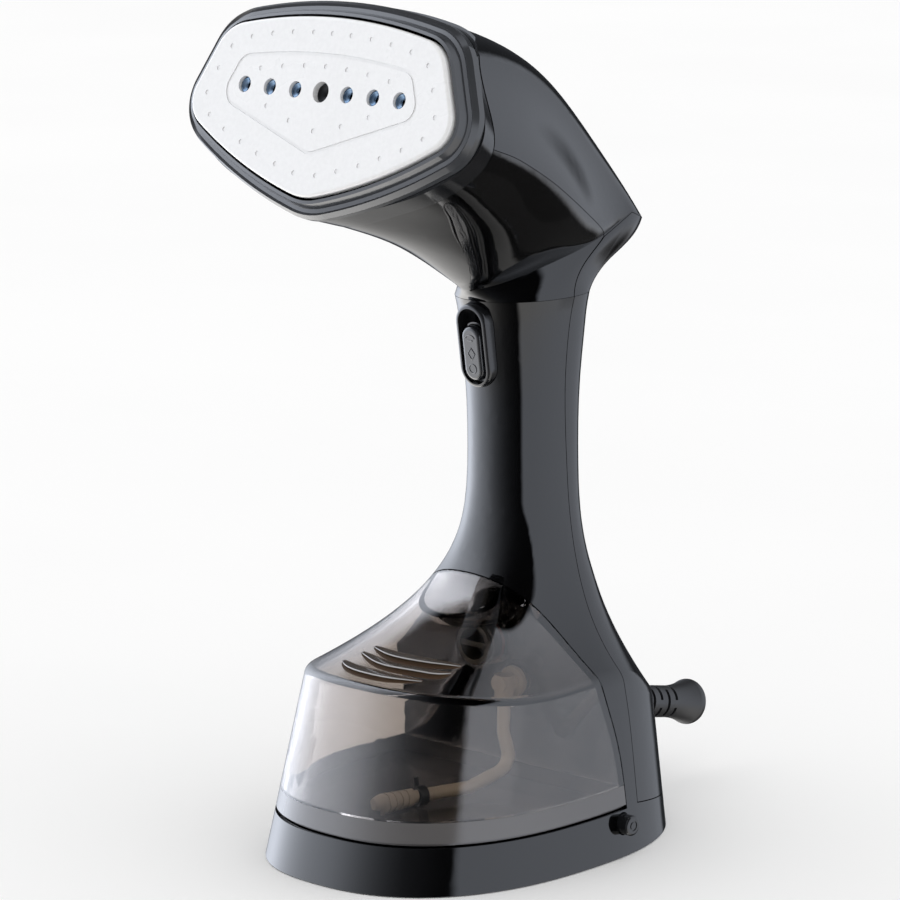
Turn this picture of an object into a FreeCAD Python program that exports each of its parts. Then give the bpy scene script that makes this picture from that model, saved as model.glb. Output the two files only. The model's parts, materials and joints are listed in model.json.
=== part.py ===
import FreeCAD, Part
import math
import os

from FreeCAD import Placement, Rotation, Vector

# Handheld garment steamer, millimetres. +X right, -Y front (the side the steam
# plate faces), +Z up. The origin is the middle of the underside of the base.

os.makedirs("parts", exist_ok=True)

# ---- driving dimensions -------------------------------------------------------
WALL = 2.4                 # moulded housing wall
TANK_WALL = 2.0            # water tank wall
SEAM = 0.3                 # open seam between two mouldings
CLEAR = 0.4                # running clearance between moving bodies
FAR = 200.0                # reach of a cutting solid

BASE_HALF_WIDTH = 53.0     # footprint of the base
BASE_HALF_DEPTH = 71.0
BASE_TAPER = 8.0 / 62      # half width lost per mm of height
FRONT_TAPER = 16.0 / 62
REAR_TAPER = 6.0 / 62
DATUM_Z = 0.9              # the heights below start this far above the underside
TANK_SHOULDER = 4.0        # rounding of the shoulder on the tank
HOUSING_SHOULDER = 8.0     # and on the housing behind it
PLATFORM_Z = 14.2          # top of the base ring, where the tank stands
TANK_BAND_Z = 22.0         # top of the tank's lower moulding
REAR_COVER_Z = 14.5        # lower edge of the rear housing at its front corners
REAR_COVER_SLOPE = -0.158  # its fall towards the back
HANDLE_HALF_WIDTH = 16.0
HANDLE_FRONT_Y = 7.0
HANDLE_REAR_Y = 45.0
HANDLE_WIDEST_Y = 26.0
HANDLE_WAIST_Z = 131.0
NECK_Z = 178.0             # joint between the handle and the head

PLATE_CENTRE = Vector(0, -66.8, 251.06)
PLATE_TILT = 17.0          # the plate leans back from the vertical
COLLAR_TILT = 10.3
HOLE_PITCH = 11.06
HOLE_RADIUS = 2.6
CENTRE_HOLE_RADIUS = 3.3

BOOT_ROOT = Vector(0, 66.0, 33.0)
BOOT_DROP = 11.0           # degrees below level
BOOT_BORE = 3.5


# ---- helpers --------------------------------------------------------------------
def save(name, shape):
    """Writes one node, raised so that the underside of the base is at zero."""
    raised = shape.copy()
    raised.translate(Vector(0, 0, DATUM_Z))
    raised.exportStep("parts/" + name + ".step")


def signed_power(value, power):
    return math.copysign(abs(value) ** power, value)


def spline(points):
    curve = Part.BSplineCurve()
    curve.interpolate(points)
    return curve.toShape()


def closed_spline(points):
    curve = Part.BSplineCurve()
    curve.interpolate(Points=points, PeriodicFlag=True)
    return curve


def side_prism(outline, reach=FAR):
    """Solid across the whole width. The outline is in (y, z); a list in it is a smooth run."""
    edges = []
    corners = []
    for item in outline:
        run = item if isinstance(item, list) else [item]
        points = [Vector(-reach, y, z) for y, z in run]
        if corners and (points[0] - corners[-1]).Length > 1e-6:
            edges.append(Part.LineSegment(corners[-1], points[0]).toShape())
        if len(points) > 1:
            edges.append(spline(points))
        corners += [points[0], points[-1]]
    edges.append(Part.LineSegment(corners[-1], corners[0]).toShape())
    return Part.Face(Part.Wire(edges)).extrude(Vector(2 * reach, 0, 0))


def above(z):
    return box((-FAR, -FAR, z), (FAR, FAR, 2 * FAR))


def shifted(points, dy, dz):
    return [(y + dy, z + dz) for y, z in points]


def cylinder(radius, length, start, direction):
    return Part.makeCylinder(radius, length, start, direction)


def box(low, high):
    size = [high[i] - low[i] for i in range(3)]
    return Part.makeBox(size[0], size[1], size[2], Vector(*low))


def ring(outer, inner, length, start, direction):
    return cylinder(outer, length, start, direction).cut(cylinder(inner, length, start, direction))


def largest_solid(shape):
    return max(shape.Solids, key=lambda solid: solid.Volume)


def fillet_safe(shape, radius, edges):
    try:
        rounded = shape.makeFillet(radius, edges)
        return rounded if rounded.isValid() else shape
    except Exception:
        return shape


# ---- outer form: tapered base and flared handle -----------------------------------
def skirt_extents(z):
    half_width = BASE_HALF_WIDTH - BASE_TAPER * z
    front = -BASE_HALF_DEPTH + FRONT_TAPER * z
    rear = BASE_HALF_DEPTH + 1.0 - REAR_TAPER * z
    return half_width, front, rear, z * 5 / 62


def flare_extents(z):
    """Half width, front, rear and widest depth of the handle and its flared foot."""
    front_t = min((z - 62) / 63, 1)
    side_t = min((z - 57.5) / 67.5, 1)
    hollow_t = min((z - 45) / 120, 1)
    foot_t = min(max((z - 45) / 80, 0), 1)
    half_width = HANDLE_HALF_WIDTH + 29.6 * (1 - side_t) ** 2.75
    front = HANDLE_FRONT_Y - 62 * (1 - front_t) ** 3.5
    rear = HANDLE_REAR_Y + 24 * (1 - hollow_t) ** 4.6
    widest = HANDLE_WIDEST_Y - 18 * (1 - foot_t) ** 2
    if z > HANDLE_WAIST_Z:
        rise = ((z - HANDLE_WAIST_Z) / 40) ** 2
        half_width += 2.2 * rise
        front -= 3.7 * rise
        rear += 2.6 * rise
    return half_width, front, rear, widest


def oval(z, extents, exponent, inset=0.0, rear_exponent=None, count=32):
    """Closed outline whose front and rear halves are each half a superellipse."""
    half_width, front, rear, widest = extents
    points = []
    for k in range(count):
        angle = math.pi / 2 + 2 * math.pi * k / count
        c, s = math.cos(angle), math.sin(angle)
        depth = (rear - inset - widest) if s > 0 else (widest - front - inset)
        power = 2 / (rear_exponent if rear_exponent and s > 0 else exponent)
        x = (half_width - inset) * signed_power(c, power)
        y = widest + depth * signed_power(s, power)
        points.append(Vector(x, y, z))
    return closed_spline(points)


def flare_exponent(z):
    return 2.4 - 0.3 * min(max((z - 62) / 60, 0), 1)


def flare_rear_exponent(z):
    """The back of the flare is pinched near its foot and full at the handle."""
    return 1.6 + 0.9 * min(max((z - 45) / 40, 0), 1)


def skirt_solid(low, high, inset):
    wires = [Part.Wire(oval(z, skirt_extents(z), 2.4, inset).toShape()) for z in (low, high)]
    return Part.makeLoft(wires, True, True)


FLARE_LEVELS = (32, 39, 45, 51, 57, 61, 64.5, 68, 72, 77, 83, 90, 98, 108, 120, 135, 150, 164, NECK_Z)


def flare_solid(inset, drop):
    """The flared handle, shrunk by inset and lowered by drop."""
    wires = []
    for level in FLARE_LEVELS:
        extents = flare_extents(min(level + drop, NECK_Z))
        curve = oval(level, extents, flare_exponent(level), inset, flare_rear_exponent(level))
        wires.append(Part.Wire(curve.toShape()))
    return Part.makeLoft(wires, True, False)


def body_form(inset, drop, low):
    """One solid from the underside of the base to the neck."""
    base = box((-FAR, -FAR, low - 5), (FAR, FAR, FLARE_LEVELS[0]))
    limit = skirt_solid(low, 99, inset).fuse(box((-90, -200, 99), (90, 150, NECK_Z + 1)))
    return largest_solid(flare_solid(inset, drop).fuse(base).common(limit))


def rounded_shoulder(form, radius):
    """The form with the edge between its flare and its tapered base rounded."""
    crease = [e for e in form.Edges if e.Length > 300 and e.BoundBox.ZMin > TANK_BAND_Z]
    return largest_solid(form.makeFillet(radius, crease))


# ---- outer form: head ---------------------------------------------------------------
# Each station of the head is a closed outline through four named points: the
# underside U and the roof T on the middle plane, the side corner S and the crease C.
# (y, z) for U and T, (x, y, z) for S and C, then the blend towards the V-shaped front.
COLLAR_FOOT = (-57.0, 208.2)


def collar_y(z):
    """Depth of the plane where the collar meets the head."""
    return COLLAR_FOOT[0] + (z - COLLAR_FOOT[1]) * math.tan(math.radians(COLLAR_TILT))


STATIONS = (
    ((-1.5, 181.8), (15.8, 49.0, 196.2), (15.0, 63.3, 202.4), (79.0, 196.4), 0.15),
    ((-4.5, 184.5), (24.5, 34.0, 203.0), (20.0, 42.5, 219.9), (48.6, 227.6), 0.3),
    ((-10.0, 188.5), (34.0, 14.5, 211.2), (28.0, 17.0, 239.0), (22.0, 248.6), 0.5),
    ((-22.0, 195.3), (43.5, -8.1, 221.4), (36.0, -7.5, 252.7), (-2.5, 262.6), 0.7),
    ((-38.0, 202.0), (51.5, -30.0, 230.0), (42.8, -29.5, 260.0), (-26.5, 271.0), 0.85),
    (COLLAR_FOOT, (58.2, collar_y(236.8), 236.8), (47.8, collar_y(264.2), 264.2),
     (collar_y(275.7), 275.7), 1.0),
)
NECK_STATIONS = (
    ((0.6, 179.2), (17.4, 35.0, 184.5), (14.2, 48.0, 185.0), (56.5, 183.0), 0.05),
    ((-0.5, 180.6), (16.6, 42.0, 190.2), (14.9, 55.5, 193.0), (69.0, 188.2), 0.1),
)
ROUND_FLANK = ((0.45, 0.973), (0.776, 0.72), (0.90, 0.51))
VEE_FLANK = ((0.45, 0.81), (0.776, 0.43), (0.90, 0.24))


def towards(a, b, t):
    return a + (b - a) * t


def inset_station(station, inset):
    """The same station with every named point moved inwards by the wall."""
    under, side, crease, roof, vee = station
    middle = Vector(0, (under[0] + roof[0]) / 2, (under[1] + roof[1]) / 2)

    def pull(point, sideways):
        away = Vector(0, point.y - middle.y, point.z - middle.z)
        scale = max(0.0, 1 - inset / max(away.Length, 1e-6))
        x = point.x - math.copysign(inset * sideways, point.x) if point.x else 0
        return Vector(x, middle.y + away.y * scale, middle.z + away.z * scale)

    u = pull(Vector(0, *under), 0)
    s = Vector(side[0] - inset * 1.1, side[1], side[2])
    c = pull(Vector(*crease), 0.9)
    t = pull(Vector(0, *roof), 0)
    return (u.y, u.z), (s.x, s.y, s.z), (c.x, c.y, c.z), (t.y, t.z), vee


def station_wire(station):
    under, side, crease, roof, vee = station
    u = Vector(0, *under)
    s = Vector(*side)
    c = Vector(*crease)
    t = Vector(0, *roof)
    roof_points = []
    for fraction in (1.0, 0.92, 0.78, 0.55, 0.28):
        height = (1 - fraction ** 2.2) ** 0.667
        roof_points.append(Vector(c.x * fraction, towards(c.y, t.y, height), towards(c.z, t.z, height)))
    flank = [c, Vector(towards(c.x, s.x, 0.55), towards(c.y, s.y, 0.5), towards(c.z, s.z, 0.5)), s]
    for (fraction, wide), (_, narrow) in zip(ROUND_FLANK, VEE_FLANK):
        ratio = towards(wide, narrow, vee)
        flank.append(Vector(s.x * ratio, towards(s.y, u.y, fraction), towards(s.z, u.z, fraction)))
    mirror = [Vector(-p.x, p.y, p.z) for p in roof_points]
    upper = spline(mirror + [t] + roof_points[::-1])
    mirror = [Vector(-p.x, p.y, p.z) for p in flank]
    lower = spline(flank + [u] + mirror[::-1])
    return Part.Wire([upper, lower])


def neck_wire(inset):
    """The top of the handle, split where the head's creases start."""
    curve = oval(NECK_Z, flare_extents(NECK_Z), 2.1, inset, flare_rear_exponent(NECK_Z))
    span = curve.LastParameter - curve.FirstParameter
    cut = 0.13 * span
    first, last = curve.FirstParameter + cut, curve.LastParameter - cut
    front = curve.toShape(first, last)
    rear = curve.copy()
    rear.segment(last, last + 2 * cut)
    return Part.Wire([rear.toShape(), front])


def skin(wires, ruled=False):
    return Part.makeLoft(wires, False, ruled).Faces


def closed_solid(faces):
    shell = Part.makeShell(faces)
    shell.sewShape()
    solid = Part.Solid(shell if shell.ShapeType == "Shell" else shell.Shells[0])
    if solid.Volume < 0:
        solid.reverse()
    return solid


def head_form(inset):
    stations = [inset_station(s, inset) if inset else s for s in STATIONS]
    neck = [inset_station(s, inset) if inset else s for s in NECK_STATIONS]
    upper = [station_wire(s) for s in stations]
    lower = [neck_wire(inset)] + [station_wire(s) for s in neck] + [upper[0]]
    faces = skin(lower) + skin(upper)
    caps = [Part.Face(lower[0]), Part.Face(upper[-1])]
    return closed_solid(faces + caps)


# ---- side-view division lines, (y, z) ------------------------------------------------
TANK_LINE = [(22.3, PLATFORM_Z), (22.0, 22.0), (20.8, 33.6), (18.2, 44.0), (15.3, 53.5),
             (12.9, 62.5), (10.0, 72.0), (5.3, 81.5), (-1.3, 89.4), (-7.0, 95.0)]
REAR_LINE = [(30.3, NECK_Z), (28.7, 160.0), (29.3, 139.0), (30.8, 117.0), (31.0, 95.0),
             (29.0, 80.0), (27.0, 68.0), (26.5, 58.0), (27.8, 46.0), (28.5, 34.0), (28.7, 24.0),
             (28.8, REAR_COVER_Z)]
REAR_FOOT = (FAR, REAR_COVER_Z + REAR_COVER_SLOPE * (FAR - 28.8))
COVER_LINE = [(-60.0, 239.8), (-51.7, 237.0), (-39.9, 233.6), (-24.2, 227.9),
              (-8.1, 221.4), (9.4, 213.6), (26.3, 206.2), (41.5, 199.4), (48.6, 195.6)]
TAIL_LINE = [(63.3, 201.8), (72.0, 198.9), (79.0, 195.9), (100.0, 190.0)]
SPLIT_LINE = [(30.0, NECK_Z - 1), (33.5, 184.0), (40.5, 190.0), (48.6, 195.6)]


def ahead_of_tank_line(dy, dz, low):
    """Everything in front of the tank line, moved by dy and dz, and above low."""
    line = shifted(TANK_LINE, dy, dz)
    return side_prism([(-FAR, 5), (line[0][0], 5), line, (-FAR, 255)]).common(above(low))


def tank_region(gap):
    return ahead_of_tank_line(-gap, -gap * 0.8, PLATFORM_Z + gap)


def front_region():
    return side_prism([(-FAR, PLATFORM_Z), TANK_LINE, (-60, 148), (-60, NECK_Z), REAR_LINE,
                       REAR_FOOT, (FAR, -40), (-FAR, -40)])


def front_cavity():
    """The inside of the front housing: behind the tank wall and under the platform."""
    wall = shifted(TANK_LINE, 1.9, 1.1)
    low = PLATFORM_Z - WALL
    return side_prism([(-FAR, -6), (-FAR, low), (wall[0][0], low), wall, (-45, 140),
                       (-45, NECK_Z + 5), (FAR, NECK_Z + 5), (FAR, -6)])


def rear_region():
    line = shifted(REAR_LINE[:-1], SEAM, 0) + [(REAR_LINE[-1][0] + SEAM, REAR_COVER_Z + SEAM)]
    return side_prism([line, (FAR, REAR_FOOT[1] + SEAM), (FAR, NECK_Z)])


# ---- plate frame: x across, y up the plate, z out of the plate ------------------------
PLATE_FRAME = Placement(PLATE_CENTRE, Rotation(Vector(1, 0, 0), 90 - PLATE_TILT))


def place_on_plate(shape):
    moved = shape.copy()
    moved.Placement = PLATE_FRAME.multiply(moved.Placement)
    return moved


def plate_point(x, up, out):
    return PLATE_FRAME.multVec(Vector(x, up, out))


def plate_wire(offset, out):
    """Rounded six-sided outline of the plate: an arched top and a pointed foot."""
    crown = 23.6
    radius = 190.0
    corner_x = 46.0
    widest_x = 57.9
    corner_y = crown - radius + math.sqrt(radius ** 2 - corner_x ** 2)
    points = [Vector(-corner_x, corner_y, 0), Vector(corner_x, corner_y, 0),
              Vector(widest_x, -9.0, 0), Vector(0, -33.3, 0), Vector(-widest_x, -9.0, 0)]
    top = Part.Arc(points[0], Vector(0, crown, 0), points[1]).toShape()
    edges = [top, Part.LineSegment(points[1], points[2]).toShape(),
             Part.Arc(points[2], Vector(30, -23.9, 0), points[3]).toShape(),
             Part.Arc(points[3], Vector(-30, -23.9, 0), points[4]).toShape(),
             Part.LineSegment(points[4], points[0]).toShape()]
    body = Part.Face(Part.Wire(edges)).extrude(Vector(0, 0, 1))
    radii = ((corner_x, 13.0), (widest_x, 9.5), (0, 22.0))
    for place, bend in radii:
        edges = [e for e in body.Edges if abs(abs(e.Vertexes[0].X) - place) < 0.01
                 and e.BoundBox.ZLength > 0.9 and e.BoundBox.XLength < 0.01]
        body = body.makeFillet(bend, edges)
    flat = [f for f in body.Faces if f.BoundBox.ZMax < 0.01][0]
    wire = flat.OuterWire
    if offset:
        wire = Part.Wire([plain_edge(edge) for edge in wire.makeOffset2D(offset).OrderedEdges])
    wire.translate(Vector(0, 0, out))
    return wire


def plain_edge(edge):
    """The same edge; an offset of a round corner is written as the arc that it is."""
    if isinstance(edge.Curve, (Part.Line, Part.Circle)):
        return edge
    first, last = edge.FirstParameter, edge.LastParameter
    spots = [edge.valueAt(t) for t in (first, (first + last) / 2, last)]
    return Part.Arc(*spots).toShape()


def plate_slab(offset, low, high):
    face = Part.Face(plate_wire(offset, low))
    return face.extrude(Vector(0, 0, high - low))


def plate_ring(outer, inner, low, high):
    return plate_slab(outer, low, high).cut(plate_slab(inner, low, high))


def steam_holes(low, high, extra=0.0):
    holes = []
    for k in range(-3, 4):
        radius = (CENTRE_HOLE_RADIUS if k == 0 else HOLE_RADIUS) + extra
        holes.append(cylinder(radius, high - low, Vector(k * HOLE_PITCH, 0, low), Vector(0, 0, 1)))
    return Part.Compound(holes)


OUTER_DIMPLES = ((0, 18.4), (8, 18.3), (16.7, 17.8), (25.4, 16.7), (34.1, 15.1), (42, 11.5),
                 (46, 4.2), (48.9, -3.9), (45.8, -10.8), (38.2, -14.8), (29.9, -18.1),
                 (21.8, -21.1), (13.2, -23.6), (4.7, -25.7))
INNER_DIMPLES = ((0, 8), (9.1, 7.7), (18.3, 6.8), (27.6, 5.5), (0, -12.2), (11.2, -9.8), (22, -6.1))
PLATE_THICK = 3.0


def plate_groove():
    """Shallow six-sided line pressed round the steam holes."""
    points = [Vector(*p, -0.35) for p in ((-36.5, 9.3), (36.5, 9.3), (43, -5), (0, -19.9), (-43, -5))]
    edges = [Part.Arc(points[0], Vector(0, 12.2, -0.35), points[1]).toShape()]
    edges += [Part.LineSegment(points[k], points[(k + 1) % 5]).toShape() for k in range(1, 5)]
    block = Part.Face(Part.Wire(edges)).extrude(ALONG_Z * 2)
    upright = [e for e in block.Edges if e.BoundBox.ZLength > 1.9]
    block = block.makeFillet(6.0, upright)
    flat = [f for f in block.Faces if f.BoundBox.ZMax < 0][0]
    inner = Part.Wire([plain_edge(edge) for edge in flat.OuterWire.makeOffset2D(-1.0).OrderedEdges])
    return block.cut(Part.Face(inner).extrude(ALONG_Z * 2))


def steam_plate():
    plate = plate_slab(0, -PLATE_THICK, 0)
    front = [e for e in plate.Edges if e.BoundBox.ZMin > -0.01]
    plate = fillet_safe(plate, 1.1, front)
    plate = plate.cut(steam_holes(-PLATE_THICK - 1, 1))
    plate = plate.cut(plate_groove())
    dimples = []
    for x, up in OUTER_DIMPLES + INNER_DIMPLES:
        for side in {x, -x}:
            dimples.append(cylinder(0.75, 1, Vector(side, up, -0.3), Vector(0, 0, 1)))
    return place_on_plate(plate.cut(Part.Compound(dimples)))


def bezel():
    """Stepped ring round the plate: lip, hollow, then an outer rim."""
    profile = ((0.9, -1.6), (1.9, -1.9), (3.0, -4.6), (4.2, -4.9), (5.0, -4.3), (6.1, -6.2),
               (6.1, -8.6), (0.9, -8.6))
    wires = [plate_wire(offset, out) for offset, out in profile]
    faces = []
    for k in range(len(wires)):
        faces += skin([wires[k], wires[(k + 1) % len(wires)]], True)
    return place_on_plate(closed_solid(faces))


def collar_front_station():
    """Outline of the collar where it meets the bezel, on the tilt of the plate."""
    def spot(x, up):
        return plate_point(x, up, -9.15)
    under, side, crease, roof = spot(0, -38.6), spot(61.9, -8.2), spot(50.5, 22.8), spot(0, 29.7)
    return ((under.y, under.z), tuple(side), tuple(crease), (roof.y, roof.z), 1.0)


def collar_solid(inset):
    front = collar_front_station()
    rear = STATIONS[-1]
    if inset:
        front, rear = inset_station(front, inset), inset_station(rear, inset)
    return Part.makeLoft([station_wire(rear), station_wire(front)], True, False)


def plate_gasket():
    return place_on_plate(plate_ring(-1.2, -4.4, -4.6, -3.05))


def steam_chamber():
    """Cast steam generator: a pan behind the plate with a maze wall and screw posts."""
    pan = plate_slab(-5.2, -16, -3.05)
    pan = pan.cut(plate_slab(-8.4, -12.4, -3))
    wall = box((-34, -1.0, -12.5), (34, 0.8, -5.4)).cut(steam_holes(-13, -3, 1.2))
    pan = pan.fuse(wall)
    for x, up in CHAMBER_SCREWS:
        pan = pan.fuse(cylinder(3.6, 9.35, Vector(x, up, -12.4), Vector(0, 0, 1)))
        pan = pan.cut(cylinder(1.35, 14, Vector(x, up, -17), Vector(0, 0, 1)))
    pan = pan.cut(cylinder(2.2, 5, Vector(0, -16, -17), Vector(0, 0, 1)))
    return place_on_plate(pan)


CHAMBER_SCREWS = ((-40.5, 2), (40.5, 2), (-24, -12.5), (24, -12.5))


def chamber_screws():
    screws = []
    for x, up in CHAMBER_SCREWS:
        head = cylinder(2.8, 2.0, Vector(x, up, -18.05), Vector(0, 0, 1))
        head = head.cut(box((x - 2.2, up - 0.4, -18.2), (x + 2.2, up + 0.4, -17.2)))
        shank = cylinder(1.3, 11.0, Vector(x, up, -16.1), Vector(0, 0, 1))
        screws.append(place_on_plate(head.fuse(shank)))
    return Part.Compound(screws)


def tube_along(points, radius, bend, bore=0.0):
    """Round tube of straight runs joined by tangent arcs."""
    edges = []
    start = points[0]
    for before, corner, after in zip(points, points[1:], points[2:]):
        a = (before - corner).normalize()
        b = (after - corner).normalize()
        half = a.getAngle(b) / 2
        reach = bend / math.tan(half)
        enter, leave = corner + a * reach, corner + b * reach
        centre_way = (a + b).normalize()
        middle = corner + centre_way * (bend / math.sin(half) - bend)
        edges.append(Part.LineSegment(start, enter).toShape())
        edges.append(Part.Arc(enter, middle, leave).toShape())
        start = leave
    edges.append(Part.LineSegment(start, points[-1]).toShape())
    path = Part.Wire(edges)
    way = (points[1] - points[0]).normalize()

    def sweep(size):
        circle = Part.Wire(Part.Circle(points[0], way, size).toShape())
        return path.makePipeShell([circle], True, True)

    tube = sweep(radius)
    return tube.cut(sweep(bore)) if bore else tube


ELEMENT_LEVEL = -19.6


def heating_element():
    """Bent tubular heater lying on the back of the chamber."""
    run = 33.0
    spots = ((-12, -9), (-run, -1), (-run, 12.6), (run, 12.6), (run, -1), (12, -9))
    points = [Vector(x, up, ELEMENT_LEVEL) for x, up in spots]
    return place_on_plate(tube_along(points, 3.2, 6.2))


def element_terminals():
    tabs = []
    for side in (-1, 1):
        direction = Vector(-side * 21, -8, 0).normalize()
        start = Vector(side * 12, -9, ELEMENT_LEVEL) + direction * 0.1
        cap = cylinder(2.6, 1.6, start, direction)
        pin = cylinder(0.9, 5.0, start + direction * 1.6, direction)
        tabs.append(place_on_plate(cap.fuse(pin)))
    return Part.Compound(tabs)


def thermostat():
    body = cylinder(6.5, 5.0, Vector(0, 2, -21.2), Vector(0, 0, 1))
    cap = cylinder(5.2, 3.0, Vector(0, 2, -24.2), Vector(0, 0, 1))
    flange = box((-10.5, -0.8, -21.0), (10.5, 4.8, -20.2))
    ears = [box((side * 3.2 - 1.2, 1.6, -29.0), (side * 3.2 + 1.2, 2.4, -24.2)) for side in (-1, 1)]
    return place_on_plate(body.fuse([cap, flange] + ears))


def thermal_fuse():
    body = cylinder(2.0, 13, Vector(-21, -17.7, -18.4), Vector(1, 0, 0))
    leads = [cylinder(0.5, 4.2, Vector(-25, -17.7, -18.4), Vector(1, 0, 0)),
             cylinder(0.5, 2.7, Vector(-8.2, -17.7, -18.4), Vector(1, 0, 0))]
    return place_on_plate(body.fuse(leads))


def chamber_inlet():
    """Barbed brass nipple screwed into the back of the chamber."""
    way = Vector(0, 0, -1)
    parts = [cylinder(2.1, 4.0, Vector(0, -16, -13.0), way),
             Part.makeCylinder(4.0, 3.0, Vector(0, -16, -16.05), way),
             cylinder(1.9, 8.0, Vector(0, -16, -19.0), way)]
    for step in (20.5, 23.0):
        parts.append(Part.makeCone(1.9, 2.25, 1.6, Vector(0, -16, -step - 1.6), Vector(0, 0, 1)))
    nipple = parts[0].fuse(parts[1:])
    return place_on_plate(nipple.cut(cylinder(1.0, 20, Vector(0, -16, -12), way)))


def steam_hose():
    """Silicone hose from the pump outlet up the handle to the chamber."""
    end = plate_point(0, -16, -21.5)
    back = plate_point(0, -16, -52)
    points = [end, back, Vector(0, 16, 207), Vector(0, 33, 184), Vector(0, 35, 120), Vector(14, 40, 62)]
    return tube_along(points, 3.3, 11.0, 2.3)


# ---- housings -----------------------------------------------------------------------
NOSE_LOW = 73.5


def nose_body(grow):
    """Rounded foot of the handle that dips into the tank."""
    half = 13.0 + grow
    low = NOSE_LOW - grow
    front = Part.Arc(Vector(-half, 0, low), Vector(0, -half, low), Vector(half, 0, low)).toShape()
    sides = [Part.LineSegment(Vector(*a, low), Vector(*b, low)).toShape()
             for a, b in (((half, 0), (half, 30)), ((half, 30), (-half, 30)), ((-half, 30), (-half, 0)))]
    solid = Part.Face(Part.Wire([front] + sides)).extrude(Vector(0, 0, 24 + grow))
    rim = [e for e in solid.Edges if e.BoundBox.ZMax < low + 0.01 and e.BoundBox.YMin < 29]
    return solid.makeFillet(6.0, rim)


def front_housing(outer, inner):
    shell = outer.common(front_region()).cut(inner.common(front_cavity()))
    nose = nose_body(0).common(flare_solid(0.6, 3.2)).common(tank_region(-1.0))
    shell = largest_solid(shell.fuse(nose))
    shell = shell.cut(Part.Compound([nose_body(-2.2).common(flare_solid(2.6, 5.4))
                                     .common(side_prism(NOSE_HOLLOW))]))
    shell = shell.cut(Part.Compound([release_bore(side) for side in (-1, 1)]))
    shell = shell.cut(place_on_switch(switch_prism(6.75, 14.15, -12, 12)))
    socket = TANK_PORT + Vector(0, 2.2, 0)
    shell = shell.cut(cylinder(7.2, 14, socket - Vector(0, 8, 0), Vector(0, 1, 0)))
    return largest_solid(shell)


NOSE_HOLLOW = ((-8, 76), (9, 76), (9, 78), (4, 86), (-3, 92), (-10, 92))


def rear_housing(outer, inner):
    shell = outer.cut(inner).common(rear_region())
    back = boot_point(-12)
    return largest_solid(shell.cut(cylinder(6.3, 24, back, BOOT_WAY)))


def head_parts(outer, inner):
    """Top cover, neck and tail, cut from the shell of the head."""
    shell = outer.cut(inner)
    low_tail = shifted(TAIL_LINE, 0, -SEAM * 1.1)
    top = side_prism([COVER_LINE] + TAIL_LINE + [(100, 400), (-60, 400)])
    below = side_prism([shifted(COVER_LINE, 0, -SEAM * 1.1)] + low_tail + [(100, 100), (-60, 100)])
    ahead = side_prism([shifted(SPLIT_LINE, -SEAM / 2, SEAM / 2), (48.6, 320), (-FAR, 320),
                        (-FAR, NECK_Z - 1)])
    behind = side_prism([shifted(SPLIT_LINE, SEAM / 2, -SEAM / 2), (52, 198), (FAR, 320),
                         (FAR, NECK_Z - 1)])
    cover = largest_solid(shell.common(top))
    lower = shell.common(below)
    neck = largest_solid(lower.common(ahead))
    tail = largest_solid(lower.common(behind))
    lift = Vector(0, 0, 0.12)
    neck.translate(lift)
    tail.translate(lift)
    return cover, neck, tail


def collar():
    whole = collar_solid(0).cut(collar_solid(WALL))
    whole.translate(Vector(0, -0.35, 0.08))
    return largest_solid(whole)


# ---- base ---------------------------------------------------------------------------
def base_slab(inset, low, high):
    wire = Part.Wire(oval(low, skirt_extents(low), 2.4, inset).toShape())
    return Part.Face(wire).extrude(Vector(0, 0, high - low))


BASE_SCREWS = ((-34, -44), (34, -44), (-34, 46), (34, 46))
PUMP_AXIS = Vector(0, 42, 29)
MOUNT_X = 17.5


def base_plate():
    plate = base_slab(WALL + 0.6, 1.7, 4.0)
    posts = []
    for x in (-MOUNT_X, MOUNT_X):
        post = box((x - 2.5, PUMP_AXIS.y - 12, 3.9), (x + 2.5, PUMP_AXIS.y + 12, PUMP_AXIS.z))
        posts.append(post.cut(cylinder(9.3, 8, Vector(x - 4, PUMP_AXIS.y, PUMP_AXIS.z), Vector(1, 0, 0))))
    for side in (-1, 1):
        seat = box((side * 36 - 1.5, BUTTON_Y - 5, 3.9), (side * 36 + 1.5, BUTTON_Y + 5, 11.5))
        posts.append(seat)
    clamp_post = box((-13, 55, 3.9), (13, 60.5, CLAMP_LOW - 0.2))
    plate = plate.fuse(posts + [clamp_post])
    plate = plate.cut(clamp_bores(1.3))
    for x, y in BASE_SCREWS:
        plate = plate.cut(cylinder(1.9, 3, Vector(x, y, 1.5), Vector(0, 0, 1)))
    return plate


def base_pad():
    low = -DATUM_Z
    pad = base_slab(WALL + 1.4, low, 1.6)
    pad = pad.cut(base_slab(WALL + 8, low - 0.1, low + 0.5).cut(base_slab(WALL + 10, low - 0.2, low + 0.6)))
    for x, y in BASE_SCREWS:
        pad = pad.cut(cylinder(3.4, 4, Vector(x, y, low - 0.5), Vector(0, 0, 1)))
    return pad


def screw(place, way, head_radius, head_length, shank_radius, shank_length):
    head = cylinder(head_radius, head_length, place, way)
    across = Vector(0, 1, 0) if abs(way.x) > 0.5 else Vector(1, 0, 0)
    slots = []
    for turn in (0, 90):
        slot = box((-head_radius * 0.6, -0.35, -0.1), (head_radius * 0.6, 0.35, 0.8))
        slot.rotate(Vector(0, 0, 0), Vector(0, 0, 1), turn)
        slot.Placement = Placement(place, Rotation(Vector(0, 0, 1), way)).multiply(slot.Placement)
        slots.append(slot)
    shank = cylinder(shank_radius, shank_length, place + way * head_length, way)
    return head.fuse(shank).cut(Part.Compound(slots))


def base_screws():
    up = Vector(0, 0, 1)
    return Part.Compound([screw(Vector(x, y, 0.3), up, 3.0, 1.3, 1.6, 8.0) for x, y in BASE_SCREWS])


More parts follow.
